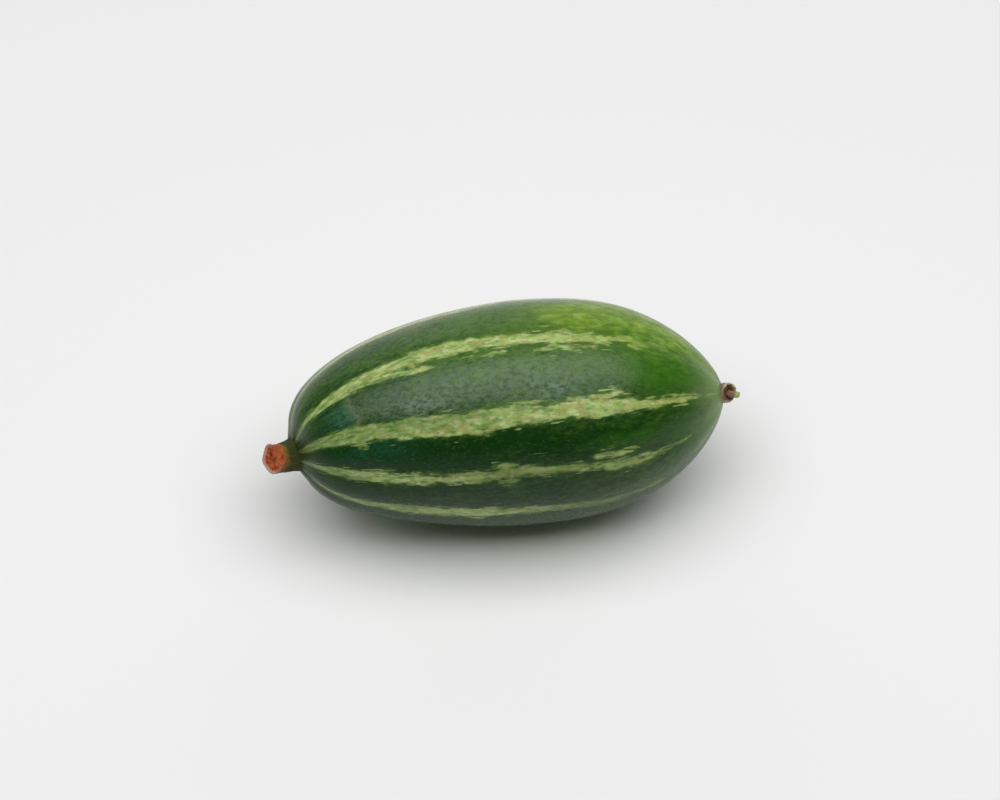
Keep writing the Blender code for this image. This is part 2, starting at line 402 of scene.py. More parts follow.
def patch_field(patches, u, degrees):
    """Sum of soft patches at chosen places of the skin."""
    total = np.zeros_like(u + degrees)
    for place, angle, reach, width, strength in patches:
        along = (u - place) / reach
        aside = wrapped(degrees - angle) / width
        total += strength * np.exp(-(along ** 2 + aside ** 2))
    return np.clip(total, 0.0, 1.0)


def scratch_field(u, degrees):
    """Thin healed scratches that run a little way round the fruit."""
    total = np.zeros_like(u + degrees)
    for place, width, angle, reach in SCRATCHES:
        aside = wrapped(degrees - angle) / reach
        along = (u - place - 0.012 * np.sin(3.0 * aside)) / width
        total += np.exp(-along ** 2) * (1.0 - smooth(np.abs(aside), 0.7, 1.0))
    return total


def skin_grid():
    """Places along and round the fruit, closer together at the ends."""
    first = math.acos(seat_position(SKIN_STALK_HOLE, STALK_TAPER, STALK_BLUNTNESS))
    last = math.acos(seat_position(SKIN_TIP_HOLE, BLOSSOM_TAPER, BLOSSOM_BLUNTNESS))
    u = -np.cos(np.linspace(first, math.pi - last, SKIN_RINGS))
    angle = np.arange(SKIN_SIDES) * TURN / SKIN_SIDES
    return u[:, None], angle[None, :]


def skin_points(u, angle):
    """Smooth form of the fruit, before any relief."""
    ring_u = u[:, 0]
    centre = fruit_centre(ring_u)[:, None, :]
    side = unit(np.cross(fruit_direction(ring_u), UP))[:, None, :]
    around = np.cos(angle)[..., None] * UP + np.sin(angle)[..., None] * side
    return centre + fruit_radius(u)[..., None] * around


def grid_normals(points):
    """Outward normals of a grid of points that closes round its second axis."""
    along = np.gradient(points, axis=0)
    around = np.roll(points, -1, axis=1) - np.roll(points, 1, axis=1)
    return unit(np.cross(around, along))


def grid_faces(rings, sides):
    """Quads of a grid that closes round its second axis."""
    index = np.arange(rings * sides).reshape(rings, sides)
    after = np.roll(index, -1, axis=1)
    quads = np.stack([index[:-1], index[1:], after[1:], after[:-1]], axis=-1)
    return quads.reshape(-1, 4).tolist()


def cap_faces(ring, hub, turned):
    """Fan of triangles from a ring of vertex numbers to one more."""
    faces = []
    for here, after in zip(ring, ring[1:] + ring[:1]):
        faces.append((after, here, hub) if turned else (here, after, hub))
    return faces


def grid_object(name, grid, fields):
    """Closed object from a grid of points, with named values kept on its points."""
    rings, sides = grid.shape[:2]
    points = np.concatenate([grid.reshape(-1, 3), grid[[0, -1]].mean(axis=1)])
    count = rings * sides
    faces = grid_faces(rings, sides)
    faces += cap_faces(list(range(sides)), count, False)
    faces += cap_faces(list(range(count - sides, count)), count + 1, True)
    mesh = bpy.data.meshes.new(name)
    mesh.from_pydata(points.tolist(), [], faces)
    for label, values in fields.items():
        add_field(mesh, label, values)
    mesh.shade_smooth()
    mesh.update()
    piece = bpy.data.objects.new(name, mesh)
    bpy.context.scene.collection.objects.link(piece)
    return piece


def add_field(mesh, label, values):
    """Keep one number or one vector for each point of a mesh."""
    ends = values[[0, -1]].mean(axis=1)
    is_vector = values.ndim == 3
    width = 3 if is_vector else 1
    flat = np.concatenate([values.reshape(-1, width), ends.reshape(-1, width)])
    kept = mesh.attributes.new(label, "FLOAT_VECTOR" if is_vector else "FLOAT", "POINT")
    kept.data.foreach_set("vector" if is_vector else "value", flat.astype(np.float32).ravel())


def unrolled(distance, angle, radius):
    """Coordinates in mm that follow a surface along, and close round it."""
    return np.stack([
        spread(distance, angle),
        spread(radius * np.cos(angle), distance),
        spread(radius * np.sin(angle), distance)], axis=-1)


def build_skin():
    """Fine skin of the fruit, with its grooves, lumps, puckered ends and flat spot."""
    u, angle = skin_grid()
    degrees = np.degrees(angle)
    points = skin_points(u, angle)
    steps = np.linalg.norm(np.diff(points, axis=0), axis=-1).mean(axis=1)
    distance = np.concatenate([[0.0], np.cumsum(steps)])[:, None] / MM
    relief = groove_relief(u, degrees) + uneven_relief(u, angle) + end_relief(u, angle)
    points = points + grid_normals(points) * relief[..., None] * MM
    points[..., 2] = np.maximum(points[..., 2], 0.0)
    radius = spread(fruit_radius(u) / MM, angle)
    fields = {
        "meridian": unrolled(distance, angle, MAX_RADIUS / MM),
        "stripe": stripe_distance(u, degrees),
        "tone": band_tone(u, degrees),
        "along": spread(u, angle),
        "ripe": patch_field(RIPE_PATCHES, u, degrees),
        "faint": patch_field(FAINT_PATCHES, u, degrees),
        "lush": patch_field(LUSH_PATCHES, u, degrees),
        "teal": patch_field(TEAL_PATCHES, u, degrees),
        "bloom_and_sheen": patch_field(BLOOM_AND_SHEEN_PATCHES, u, degrees),
        "blemish": patch_field(BLEMISH_PATCHES, u, degrees),
        "scratch": scratch_field(u, degrees),
        "stalk_end": np.where(u < 0.0, 1.0 - smooth(radius, *STALK_TINT_FADE), 0.0),
        "blossom_end": np.where(u > 0.0, 1.0 - smooth(radius, *TIP_TINT_FADE), 0.0),
        "collar": np.where(u > 0.0, 1.0 - smooth(radius, *TIP_COLLAR_FADE), 0.0),
    }
    return grid_object("gourd_skin", points, fields)


# Form of the stalk and the blossom tip

def curved_path(start, first_direction, last_direction, length, fraction):
    """Points and directions on a short curve that turns between two directions."""
    corner = start + first_direction * length / 2.0
    end = corner + last_direction * length / 2.0
    share = np.asarray(fraction, dtype=float)[..., None]
    keep = 1.0 - share
    point = keep * keep * start + 2.0 * keep * share * corner + share * share * end
    return point, unit(keep * (corner - start) + share * (end - corner))


def ring_frames(direction):
    """Two directions across each direction of a path."""
    side = unit(np.cross(direction, UP))
    return unit(np.cross(side, direction)), side


def three_point_curve(fraction, first, middle, last):
    """Smooth curve through values at 0, a half and 1."""
    return (first * 2.0 * (fraction - 0.5) * (fraction - 1.0)
            + middle * 4.0 * fraction * (1.0 - fraction)
            + last * 2.0 * fraction * (fraction - 0.5))


def stalk_side_radius(along, angle):
    """Radius of the stalk's side in mm: flared foot, ridges, fibres, wrinkles and a dried lip."""
    radius = three_point_curve(along, STALK_FOOT_RADIUS, STALK_NECK_RADIUS, STALK_CUT_RADIUS) / MM
    flare = 0.45 * np.exp(-np.maximum(along, 0.0) / 0.10)
    ridges = 0.12 * np.cos(STALK_RIDGES * angle) + 0.05 * np.sin(3.0 * angle + 2.0 + 1.5 * along)
    fibres = 0.030 * np.sin(23.0 * angle + 2.0 * np.sin(6.0 * along))
    fibres = fibres + 0.022 * np.sin(41.0 * angle - 4.0 * along + 1.0)
    wrinkles = 0.03 * np.sin(34.0 * along + 2.0 * np.sin(3.0 * angle)) * np.cos(7.0 * angle)
    lip = 0.20 * np.exp(-((along - 0.97) / 0.05) ** 2) * (1.0 + 0.5 * np.sin(6.0 * angle + 1.0))
    return radius + flare + ridges + fibres + wrinkles + lip


def cut_relief(ray, angle):
    """Height of the cut face in mm: sunk middle, raised rim, low waves and pits."""
    height = -0.30 * (1.0 - ray ** 2) + 0.10 * np.exp(-((ray - 0.93) / 0.06) ** 2)
    height = height + 0.035 * np.sin(9.0 * angle + 6.0 * ray) * ray
    height = height + 0.025 * np.sin(17.0 * angle - 9.0 * ray + 1.0) * ray
    return height - CUT_PIT_DEPTH * cut_pits(ray, angle)


def cut_pits(ray, angle):
    """Dark pits of the cut face: two large ones and four small faint ones."""
    pits = np.zeros_like(ray + angle)
    for reach, degrees, size, strength in CUT_PITS:
        at = math.radians(degrees)
        gap = ray ** 2 + reach ** 2 - 2.0 * ray * reach * np.cos(angle - at)
        pits = pits + strength * np.exp(-gap / size ** 2)
    return np.clip(pits, 0.0, 1.0)


def stalk_fields(along, ray, angle):
    """Values that the stalk's colours read, first on its side and then on its cut face."""
    on_side, on_face = spread(along, angle), spread(ray, angle)
    reach = np.concatenate([on_side, 1.0 + (1.0 - on_face) * FACE_REACH])
    radius = STALK_CUT_RADIUS / MM
    side_place = unrolled(along * STALK_STUB_LENGTH / MM, angle, radius)
    face_place = unrolled(np.full_like(ray, FACE_PLACE), angle, radius * ray)
    rim = 0.5 + 0.5 * np.cos(angle - math.radians(CUT_RIM_ANGLE))
    return {
        "fibre": np.concatenate([side_place, face_place]),
        "reach": reach,
        "ray": np.concatenate([np.full_like(on_side, RAY_ON_SIDE), on_face]),
        "pits": np.concatenate([np.zeros_like(on_side), cut_pits(ray, angle)]),
        "rim": spread(rim, reach),
    }


def build_stalk():
    """Fine stalk stub, whose foot sinks into the skin and whose last rings are the cut face."""
    u = -seat_position(STALK_SEAT_RADIUS, STALK_TAPER, STALK_BLUNTNESS)
    last_direction = unit(STALK_CUT_DIRECTION)
    along = np.linspace(-STALK_SINK, 1.0, STALK_RINGS)[:, None]
    angle = (np.arange(STALK_SIDES) * TURN / STALK_SIDES)[None, :]
    ray = np.linspace(1.0, CUT_HUB, CUT_RINGS)[1:, None]
    centre, direction = curved_path(
        fruit_centre(u), -fruit_direction(u), last_direction, STALK_STUB_LENGTH, along[:, 0])
    top, side = ring_frames(direction)
    around = np.cos(angle)[..., None] * top[:, None] + np.sin(angle)[..., None] * side[:, None]
    radius = stalk_side_radius(along, angle) * MM
    sides = centre[:, None] + radius[..., None] * around
    lift = cut_relief(ray, angle) - cut_relief(np.ones_like(ray), angle)
    face = centre[-1] + ray[..., None] * (radius[-1][:, None] * around[-1])
    face = face + lift[..., None] * MM * last_direction
    points = np.concatenate([sides, face])
    return grid_object("stalk_stub", points, stalk_fields(along, ray, angle))


def smooth_profile(points, count):
    """Evenly spaced points on a smooth curve through a short list."""
    keys = np.array(points)
    path = np.concatenate([[0.0], np.cumsum(np.linalg.norm(np.diff(keys, axis=0), axis=1))])
    slopes = np.gradient(keys, path, axis=0)
    at = np.linspace(0.0, path[-1], count)
    cell = np.clip(np.searchsorted(path, at, side="right") - 1, 0, len(path) - 2)
    width = (path[cell + 1] - path[cell])[:, None]
    done = (at - path[cell])[:, None] / width
    left = 1.0 - done
    start = left ** 2 * ((1.0 + 2.0 * done) * keys[cell] + done * width * slopes[cell])
    end = done ** 2 * ((1.0 + 2.0 * left) * keys[cell + 1] - left * width * slopes[cell + 1])
    return start + end


def profile_grid(profile, rings, sides):
    """Distance out, radius, angle and share of the way along a turned profile."""
    curve = smooth_profile(profile, rings)
    angle = (np.arange(sides) * TURN / sides)[None, :]
    share = np.linspace(0.0, 1.0, rings)[:, None]
    return curve[:, :1], curve[:, 1:], angle, share


def turned_points(out, radius, angle, start, first_direction, last_direction, length):
    """Points round a short curved path, from distances out and radii in mm."""
    centre, direction = curved_path(
        start, first_direction, unit(last_direction), length, out * MM / length)
    top, side = ring_frames(direction)
    around = np.cos(angle)[..., None] * top + np.sin(angle)[..., None] * side
    return centre + radius[..., None] * MM * around


def build_cup():
    """Withered flower: a puckered papery cup with a torn rim."""
    u = seat_position(TIP_SEAT_RADIUS, BLOSSOM_TAPER, BLOSSOM_BLUNTNESS)
    out, radius, angle, share = profile_grid(CUP_PROFILE, CUP_RINGS, CUP_SIDES)
    loose = smooth(out, 0.0, 1.0) * smooth(radius, 0.4, 1.2)
    pleat = np.cos(CUP_PLEATS * angle + 0.8 * np.sin(2.0 * angle) + 0.7 * out)
    crease = np.sin(17.0 * angle + 1.5 * out)
    inner = smooth(share, 0.62, 0.75) * smooth(radius, 0.1, 0.6)
    radius = radius + loose * (0.08 * pleat + 0.03 * crease)
    radius = radius + 0.05 * np.sin(3.0 * angle + 1.0 + out) * np.minimum(1.0, radius)
    torn = smooth(out, 0.7, 1.4) * smooth(radius, 0.9, 1.4)
    out = out + torn * (0.13 * np.sin(3.0 * angle + 1.0) + 0.09 * np.sin(8.0 * angle))
    out = out + inner * (0.07 * pleat + 0.05 * crease)
    points = turned_points(out, radius, angle, fruit_centre(u), fruit_direction(u),
                           CUP_DIRECTION, CUP_LENGTH)
    fields = {
        "fibre": unrolled(share * CUP_FIBRE_LENGTH, angle, CUP_FIBRE_RADIUS),
        "share": spread(share, angle),
        "around": spread(0.5 + 0.5 * np.cos(angle - math.radians(CUP_HIGHLIGHT_ANGLE)), share),
    }
    return grid_object("blossom_cup", points, fields)


def build_style():
    """Dried style that leans out of the cup, with a swollen paler end."""
    u = seat_position(TIP_SEAT_RADIUS, BLOSSOM_TAPER, BLOSSOM_BLUNTNESS)
    out, radius, angle, share = profile_grid(STYLE_PROFILE, STYLE_RINGS, STYLE_SIDES)
    lumps = 0.14 * np.sin(3.0 * angle + 2.4 * out) + 0.07 * np.sin(7.0 * angle - 3.0 * out)
    radius = radius * (1.0 + lumps + 0.06 * np.sin(5.0 * out + 2.0 * angle))
    start, direction = curved_path(fruit_centre(u), fruit_direction(u), unit(CUP_DIRECTION),
                                   CUP_LENGTH, STYLE_ROOT)
    start = start + unit(STYLE_DIRECTION) * STYLE_PLACE
    points = turned_points(out, radius, angle, start, direction, STYLE_DIRECTION, STYLE_LENGTH)
    fields = {
        "fibre": unrolled(out, angle, STYLE_FIBRE_RADIUS),
        "share": spread(share, angle),
    }
    return grid_object("style_remnant", points, fields)


# Shader helpers

def new_material(name):
    """Material with a Principled shader, and the tree that feeds it."""
    material = bpy.data.materials.new(name)
    material.use_nodes = True
    tree = material.node_tree
    return material, tree, tree.nodes["Principled BSDF"]


def feed(tree, socket, value):
    """Link an output, or set a number or colour."""
    if isinstance(value, bpy.types.NodeSocket):
        tree.links.new(value, socket)
    elif isinstance(value, tuple) and len(value) == 3 and len(socket.default_value) == 4:
        socket.default_value = (*value, 1.0)
    else:
        socket.default_value = value


def field(tree, name, vector=False):
    """Values kept on a mesh under a name."""
    node = tree.nodes.new("ShaderNodeAttribute")
    node.attribute_name = name
    return node.outputs["Vector" if vector else "Fac"]


def maths(tree, operation, first, second, third=0.0, clamp=False):
    """Result of one Math node."""
    node = tree.nodes.new("ShaderNodeMath")
    node.operation = operation
    node.use_clamp = clamp
    for socket, value in zip(node.inputs, (first, second, third)):
        feed(tree, socket, value)
    return node.outputs[0]


def product(tree, first, second):
    """Product of two values."""
    return maths(tree, "MULTIPLY", first, second)


def sway(tree, value, wave, amount):
    """Value that a noise moves up and down, by half the amount at most."""
    raised = maths(tree, "MULTIPLY_ADD", wave, amount, value)
    return maths(tree, "SUBTRACT", raised, amount / 2.0)


def noise(tree, vector, sizes, detail=2.0, roughness=0.5):
    """Noise from 0 to 1, with its own size in mm along and across."""
    along, across = sizes
    scaled = tree.nodes.new("ShaderNodeVectorMath")
    scaled.operation = "MULTIPLY"
    feed(tree, scaled.inputs[0], vector)
    scaled.inputs[1].default_value = (1.0 / along, 1.0 / across, 1.0 / across)
    node = tree.nodes.new("ShaderNodeTexNoise")
    node.inputs["Scale"].default_value = 1.0
    node.inputs["Detail"].default_value = detail
    node.inputs["Roughness"].default_value = roughness
    tree.links.new(scaled.outputs[0], node.inputs["Vector"])
    return node.outputs["Fac"]


def rise(tree, value, low, high, start=0.0, end=1.0):
    """Smooth step from start at low to end at high."""
    node = tree.nodes.new("ShaderNodeMapRange")
    node.interpolation_type = "SMOOTHSTEP"
    feed(tree, node.inputs["Value"], value)
    limits = {"From Min": low, "From Max": high, "To Min": start, "To Max": end}
    for label, number in limits.items():
        node.inputs[label].default_value = number
    return node.outputs["Result"]


def mix(tree, share, first, second):
    """Mix of two colours."""
    node = tree.nodes.new("ShaderNodeMix")
    node.data_type = "RGBA"
    feed(tree, node.inputs["Factor"], share)
    feed(tree, node.inputs[6], first)
    feed(tree, node.inputs[7], second)
    return node.outputs[2]


def bump(tree, shader, height, distance, strength):
    """Fine relief on a shader's surface, from a height of 0 to 1 and a distance in metres."""
    node = tree.nodes.new("ShaderNodeBump")
    node.inputs["Strength"].default_value = strength
    node.inputs["Distance"].default_value = distance
    feed(tree, node.inputs["Height"], height)
    tree.links.new(node.outputs["Normal"], shader.inputs["Normal"])


# Materials: colours in linear light

BAND_DARK = (0.003, 0.032, 0.002)
BAND_LIGHT = (0.074, 0.160, 0.020)
BAND_TEAL = (0.014, 0.118, 0.074)
BAND_RIPE = (0.185, 0.318, 0.012)
DAB_YELLOW = (0.255, 0.400, 0.065)
DAB_GREEN = (0.020, 0.090, 0.004)
# Grey-green of the powder, which on the top bands is painted sheen
BAND_BLOOM_AND_SHEEN = (0.128, 0.203, 0.122)
BLOOM_AND_SHEEN_PALE = (0.142, 0.205, 0.160)
BAND_LUSH = (0.028, 0.140, 0.002)
STALK_END_OLIVE = (0.040, 0.068, 0.014)
TIP_END_GREEN = (0.165, 0.300, 0.045)
COLLAR_GREY = (0.270, 0.260, 0.190)
SCRATCH_GREY = (0.160, 0.180, 0.095)
BLEMISH_BROWN = (0.150, 0.100, 0.030)
PALE_SPECK = (0.130, 0.200, 0.070)
PORE_DARK = (0.016, 0.055, 0.008)
STRIPE_PALE = (0.390, 0.500, 0.165)
STRIPE_GREEN = (0.112, 0.228, 0.036)
STRIPE_TAN = (0.330, 0.320, 0.100)
STRIPE_YELLOW = (0.300, 0.430, 0.050)
STRIPE_CREAM = (0.540, 0.620, 0.310)

# Noises that fray a stripe's edge: size along and across, and how far they move it, in mm
EDGE_NOISES = (((7.0, 1.6), 2.2), ((2.6, 0.90), 2.2), ((0.9, 0.50), 0.9))
SKIN_IOR = 1.45
SKIN_SPECULAR = 0.30
STALK_SPECULAR = 0.20


def ragged_stripe(tree, place, stripe):
    """How far inside a stripe a point is, in mm, with brushed ragged edges."""
    inside = stripe
    for sizes, swing in EDGE_NOISES:
        inside = sway(tree, inside, noise(tree, place, sizes), swing)
    return inside


def loose_flecks(tree, place, stripe):
    """Thin pale flecks that lie along the stripes, a little way outside them."""
    dash = noise(tree, place, (3.6, 0.55), 1.5)
    nearness = rise(tree, stripe, -2.6, -0.2, -0.16, 0.02)
    return rise(tree, maths(tree, "ADD", dash, nearness), 0.61, 0.68, 0.0, 0.70)


def stripe_colour(tree, place, along):
    """Pale stripe, greener towards the stalk, with green streaks, tan blotches and specks."""
    streaks = noise(tree, place, (2.8, 0.95), 2.5, 0.55)
    greener = maths(tree, "MULTIPLY_ADD", along, -0.09, streaks)
    colour = mix(tree, rise(tree, greener, 0.36, 0.80), STRIPE_PALE, STRIPE_GREEN)
    blotches = rise(tree, noise(tree, place, (2.8, 1.5), 2.5), 0.46, 0.64, 0.0, 0.75)
    dry = product(tree, blotches, rise(tree, along, -1.0, -0.35, 0.15, 1.0))
    colour = mix(tree, dry, colour, STRIPE_TAN)
    crumbs = rise(tree, noise(tree, place, (1.9, 0.90), 2.0, 0.55), 0.50, 0.68, 0.0, 0.70)
    colour = mix(tree, crumbs, colour, STRIPE_CREAM)
    pits = rise(tree, noise(tree, place, (1.2, 0.75), 2.0, 0.55), 0.54, 0.70, 0.0, 0.60)
    colour = mix(tree, pits, colour, STRIPE_GREEN)
    yellower = product(tree, field(tree, "lush"), rise(tree, streaks, 0.35, 0.65, 0.95, 0.55))
    return mix(tree, yellower, colour, STRIPE_YELLOW)


def mottled_green(tree, place, mottle):
    """Dark green, with clouds and mottling as light as the band's tone says."""
    # The band's tone carries the painted shade of the bands at 56 to 116 degrees
    clouds = noise(tree, place, (6.0, 2.8), 3.0, 0.60)
    tone = sway(tree, field(tree, "tone"), clouds, 0.80)
    tone = sway(tree, tone, mottle, 1.10)
    return mix(tree, rise(tree, tone, 0.0, 1.0), BAND_DARK, BAND_LIGHT)


def powdered_and_sheened(tree, place, colour):
    """Colour with grey-green powder and painted sheen in their patches, and dark pores
    everywhere.
    """
    bloom_and_sheen = field(tree, "bloom_and_sheen")
    dust_and_sheen_breakup = rise(tree, noise(tree, place, (1.10, 0.80), 3.0, 0.6), 0.32, 0.62)
    powder_and_sheen = mix(tree, rise(tree, bloom_and_sheen, 0.60, 1.00), BAND_BLOOM_AND_SHEEN, BLOOM_AND_SHEEN_PALE)
    # Painted sheen where the patches lie on the top bands, grey-green powder elsewhere
    colour = mix(tree, product(tree, bloom_and_sheen, dust_and_sheen_breakup), colour, powder_and_sheen)
    pores = rise(tree, noise(tree, place, (0.75, 0.60), 2.0, 0.55), 0.54, 0.70, 0.0, 0.60)
    return mix(tree, pores, colour, PORE_DARK)


def ripened(tree, place, mottle, colour):
    """Colour with its lush and ripe patches, dabbed with yellow and with dark green."""
    lush, ripe = field(tree, "lush"), field(tree, "ripe")
    patchy = noise(tree, place, (3.0, 1.1), 3.0)
    uneven = rise(tree, mottle, 0.30, 0.70, 1.0, 0.45)
    green = rise(tree, sway(tree, lush, patchy, 0.80), 0.10, 1.00)
    colour = mix(tree, product(tree, green, uneven), colour, BAND_LUSH)
    yellow = rise(tree, sway(tree, ripe, patchy, 0.80), 0.05, 1.15)
    colour = mix(tree, product(tree, yellow, uneven), colour, BAND_RIPE)
    dabs = noise(tree, place, (2.6, 1.3), 3.0, 0.6)
    light = product(tree, ripe, rise(tree, dabs, 0.48, 0.66, 0.0, 0.75))
    colour = mix(tree, light, colour, DAB_YELLOW)
    either = maths(tree, "MULTIPLY_ADD", ripe, 0.5, lush, clamp=True)
    dim = product(tree, either, rise(tree, dabs, 0.50, 0.34, 0.0, 0.55))
    return mix(tree, dim, colour, DAB_GREEN)


def band_colour(tree, place, inside):
    """Mottled green between the stripes, lighter close to a stripe."""
    mottle = noise(tree, place, (1.3, 0.80), 3.0, 0.65)
    colour = mottled_green(tree, place, mottle)
    teal = product(tree, field(tree, "teal"), rise(tree, mottle, 0.30, 0.65))
    colour = mix(tree, teal, colour, BAND_TEAL)
    colour = powdered_and_sheened(tree, place, colour)
    colour = ripened(tree, place, mottle, colour)
    return mix(tree, rise(tree, inside, -1.1, 0.0, 0.0, 0.40), colour, BAND_LIGHT)


def tip_tinted(tree, place, colour):
    """Colour that turns pale green towards the blossom tip, with a grey collar round it."""
    cloudy = rise(tree, noise(tree, place, (3.0, 1.6), 3.0, 0.6), 0.30, 0.65, 0.65, 1.0)
    blossom_end = product(tree, field(tree, "blossom_end"), cloudy)
    colour = mix(tree, blossom_end, colour, TIP_END_GREEN)
    return mix(tree, product(tree, field(tree, "collar"), 0.75), colour, COLLAR_GREY)


def stripe_cover(tree, place, stripe, inside):
    """How much of a stripe's colour shows: the ragged stripe and its flecks, less where faint."""
    solid = rise(tree, inside, -0.42, 0.45)
    cover = maths(tree, "MAXIMUM", solid, loose_flecks(tree, place, stripe))
    return product(tree, cover, rise(tree, field(tree, "faint"), 0.0, 1.0, 1.0, 0.25))


def marked(tree, place, specks, colour):
    """Colour with the healed scratches and the small brown blemishes."""
    healed = rise(tree, noise(tree, place, (0.6, 0.9), 3.0, 0.6), 0.35, 0.60, 0.0, 0.60)
    colour = mix(tree, product(tree, field(tree, "scratch"), healed), colour, SCRATCH_GREY)
    broken = rise(tree, specks, 0.0, 0.25, 0.75, 0.30)
    return mix(tree, product(tree, field(tree, "blemish"), broken), colour, BLEMISH_BROWN)


def skin_material():
    """Waxy green skin with ragged pale stripes."""
    material, tree, shader = new_material("gourd_skin")
    place = field(tree, "meridian", vector=True)
    stripe = field(tree, "stripe")
    inside = ragged_stripe(tree, place, stripe)
    specks = rise(tree, noise(tree, place, (0.60, 0.45), 1.0), 0.64, 0.78, 0.0, 0.25)
    colour = mix(tree, specks, band_colour(tree, place, inside), PALE_SPECK)
    colour = tip_tinted(tree, place, colour)
    cover = stripe_cover(tree, place, stripe, inside)
    colour = mix(tree, cover, colour, stripe_colour(tree, place, field(tree, "along")))
    colour = marked(tree, place, specks, colour)
    stalk_end = product(tree, field(tree, "stalk_end"), 0.80)
    feed(tree, shader.inputs["Base Color"], mix(tree, stalk_end, colour, STALK_END_OLIVE))
    wax = noise(tree, place, (2.5, 1.2), 3.0)
    feed(tree, shader.inputs["Roughness"], rise(tree, wax, 0.25, 0.75, 0.20, 0.32))
    shader.inputs["IOR"].default_value = SKIN_IOR
    shader.inputs["Specular IOR Level"].default_value = SKIN_SPECULAR
    grain = noise(tree, place, (0.9, 0.55), 4.0, 0.6)
    bump(tree, shader, maths(tree, "MULTIPLY_ADD", cover, 0.25, grain), 0.00012, 0.7)
    return material


STALK_OLIVE = (0.034, 0.042, 0.002)
STALK_BROWN = (0.230, 0.120, 0.020)
CUT_RIM = (0.400, 0.280, 0.220)
CUT_ORANGE = (0.500, 0.125, 0.036)
CUT_RED = (0.240, 0.022, 0.006)
CUT_PIT = (0.060, 0.014, 0.005)


def stalk_side_colour(tree, reach, streak):
    """Olive foot that turns brown and then orange, with paler fibres."""
    change = maths(tree, "MULTIPLY_ADD", streak, 0.5, reach)
    side = mix(tree, rise(tree, change, 0.72, 1.10), STALK_OLIVE, STALK_BROWN)
    side = mix(tree, rise(tree, change, 1.05, 1.35), side, CUT_ORANGE)
    return mix(tree, rise(tree, streak, 0.55, 0.75, 0.0, 0.15), side, CUT_RIM)


def cut_face_colour(tree, patch):
    """Orange face, redder towards its outside, with dark pits and a greyish rim."""
    ray, rim = field(tree, "ray"), field(tree, "rim")
    face = mix(tree, rise(tree, patch, 0.28, 0.55), CUT_RED, CUT_ORANGE)
    face = mix(tree, product(tree, rise(tree, ray, 0.45, 0.80, 0.0, 0.75), rim), face, CUT_RED)
    face = mix(tree, field(tree, "pits"), face, CUT_PIT)
    outer = maths(tree, "MULTIPLY_ADD", patch, 0.14, ray)
    outer = maths(tree, "MULTIPLY_ADD", rim, 0.09, outer)
    pale = product(tree, rise(tree, outer, 0.86, 1.0), rise(tree, rim, 0.1, 0.8))
    return mix(tree, pale, face, CUT_RIM)


def stalk_material():
    """Fibrous side and orange-red cut face."""
    material, tree, shader = new_material("stalk_stub")
    place = field(tree, "fibre", vector=True)
    reach = field(tree, "reach")
    streak = noise(tree, place, (4.0, 0.35), 3.0, 0.6)
    patch = noise(tree, place, (0.9, 0.9), 3.0, 0.6)
    side = stalk_side_colour(tree, reach, streak)
    face = cut_face_colour(tree, patch)
    feed(tree, shader.inputs["Base Color"], mix(tree, rise(tree, reach, 0.95, 1.0), side, face))
    feed(tree, shader.inputs["Roughness"], rise(tree, streak, 0.3, 0.7, 0.50, 0.75))
    shader.inputs["Specular IOR Level"].default_value = STALK_SPECULAR
    bump(tree, shader, maths(tree, "ADD", streak, patch), 0.00012, 0.8)
    return material


TIP_GREY = (0.300, 0.250, 0.170)
TIP_BROWN = (0.170, 0.110, 0.025)
TIP_RED = (0.230, 0.095, 0.055)
TIP_CREAM_HIGHLIGHT = (0.500, 0.480, 0.280)
STYLE_MAUVE = (0.240, 0.135, 0.080)
STYLE_PALE = (0.340, 0.380, 0.120)


def cup_material():
    """Grey and red-brown outside, brown inside and a grey rim with a painted cream highlight on
    one side.
    """
    material, tree, shader = new_material("blossom_cup")
    place = field(tree, "fibre", vector=True)
    streak = noise(tree, place, (2.0, 0.25), 3.0, 0.6)
    patch = noise(tree, place, (0.8, 0.6), 2.0, 0.6)
    along = maths(tree, "MULTIPLY_ADD", streak, 0.10, field(tree, "share"))
    inner = mix(tree, rise(tree, patch, 0.40, 0.60), TIP_BROWN, TIP_RED)
    colour = mix(tree, rise(tree, patch, 0.40, 0.65, 0.0, 0.8), TIP_GREY, TIP_RED)
    # Painted highlight: the rim turns from grey to cream towards one side
    rim = mix(tree, field(tree, "around"), TIP_GREY, TIP_CREAM_HIGHLIGHT)
    colour = mix(tree, rise(tree, along, 0.45, 0.55), colour, rim)
    colour = mix(tree, rise(tree, along, 0.64, 0.74), colour, inner)
    feed(tree, shader.inputs["Base Color"], colour)
    feed(tree, shader.inputs["Roughness"], rise(tree, streak, 0.3, 0.7, 0.65, 0.90))
    bump(tree, shader, streak, 0.00010, 0.8)
    return material


def style_material():
    """Mauve-brown stem with a pale yellow-green end."""
    material, tree, shader = new_material("style_remnant")
    place = field(tree, "fibre", vector=True)
    streak = noise(tree, place, (1.2, 0.2), 3.0, 0.6)
    along = maths(tree, "MULTIPLY_ADD", streak, 0.15, field(tree, "share"))
    colour = mix(tree, rise(tree, along, 0.55, 0.72), STYLE_MAUVE, STYLE_PALE)
    feed(tree, shader.inputs["Base Color"], colour)
    feed(tree, shader.inputs["Roughness"], rise(tree, streak, 0.3, 0.7, 0.55, 0.80))
    bump(tree, shader, streak, 0.00008, 0.7)
    return material


def dress(piece, material, node):
    """Give a piece its material and let it stand for its CAD node."""
    piece.data.materials.append(material)
    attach(piece, "root")
    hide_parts(node)


# Floor, light and camera

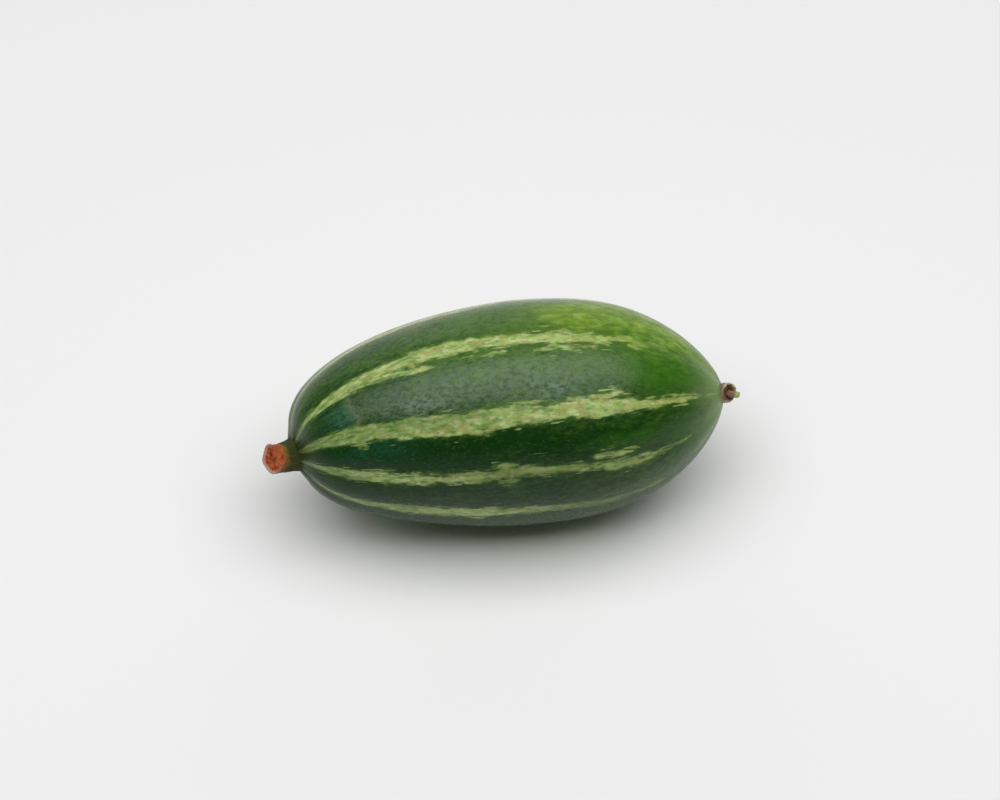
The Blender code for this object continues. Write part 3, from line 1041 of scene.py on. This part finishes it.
def add_floor():
    """Plain pale floor."""
    mesh = bpy.data.meshes.new("floor")
    sides = ((-1.0, -1.0), (1.0, -1.0), (1.0, 1.0), (-1.0, 1.0))
    corners = [(x * FLOOR_REACH, y * FLOOR_REACH, 0.0) for x, y in sides]
    mesh.from_pydata(corners, [], [(0, 1, 2, 3)])
    floor = bpy.data.objects.new("floor", mesh)
    bpy.context.scene.collection.objects.link(floor)
    material, tree, shader = new_material("floor")
    feed(tree, shader.inputs["Base Color"], FLOOR_WHITE)
    shader.inputs["Roughness"].default_value = 0.9
    shader.inputs["Specular IOR Level"].default_value = 0.1
    mesh.materials.append(material)


def add_area_light(name, place, size, power):
    """Soft rectangular light that faces the fruit."""
    light = bpy.data.lights.new(name, "AREA")
    light.shape = "RECTANGLE"
    light.size, light.size_y = size
    light.energy = power
    lamp = bpy.data.objects.new(name, light)
    lamp.location = place
    lamp.rotation_euler = (Vector(LIGHT_AIM) - Vector(place)).to_track_quat("-Z", "Y").to_euler()
    bpy.context.scene.collection.objects.link(lamp)


def add_world():
    """Dim white light from all round."""
    world = bpy.data.worlds.new("studio")
    bpy.context.scene.world = world
    world.use_nodes = True
    background = world.node_tree.nodes["Background"]
    background.inputs["Color"].default_value = (1.0, 1.0, 1.0, 1.0)
    background.inputs["Strength"].default_value = WORLD_BRIGHTNESS


def add_camera():
    """Long lens at the photograph's angle, with the fruit at its place in the picture."""
    azimuth, elevation = math.radians(CAMERA_AZIMUTH), math.radians(CAMERA_ELEVATION)
    back = Vector((math.sin(azimuth) * math.cos(elevation),
                   -math.cos(azimuth) * math.cos(elevation), math.sin(elevation)))
    right = Vector((math.cos(azimuth), math.sin(azimuth), 0.0))
    upward = back.cross(right)
    pixel = SENSOR_WIDTH / CAMERA_LENS * CAMERA_DISTANCE / PICTURE_WIDTH
    aside = (WIDEST_PLACE_PIXEL[0] - PICTURE_WIDTH / 2.0) * pixel
    below = (WIDEST_PLACE_PIXEL[1] - PICTURE_HEIGHT / 2.0) * pixel
    lens = bpy.data.cameras.new("camera")
    lens.lens = CAMERA_LENS
    lens.sensor_width = SENSOR_WIDTH
    camera = bpy.data.objects.new("camera", lens)
    turn = Matrix((right, upward, back)).transposed().to_4x4()
    place = Vector(widest_place()) + back * CAMERA_DISTANCE - right * aside + upward * below
    camera.matrix_world = Matrix.Translation(place) @ turn
    bpy.context.scene.collection.objects.link(camera)
    bpy.context.scene.camera = camera


def main():
    bpy.context.scene.view_settings.view_transform = "Standard"
    dress(build_skin(), skin_material(), "gourd")
    dress(build_stalk(), stalk_material(), "stalk")
    dress(build_cup(), cup_material(), "blossom_tip")
    dress(build_style(), style_material(), "blossom_tip")
    add_floor()
    for light in LIGHTS:
        add_area_light(*light)
    add_world()
    add_camera()


main()
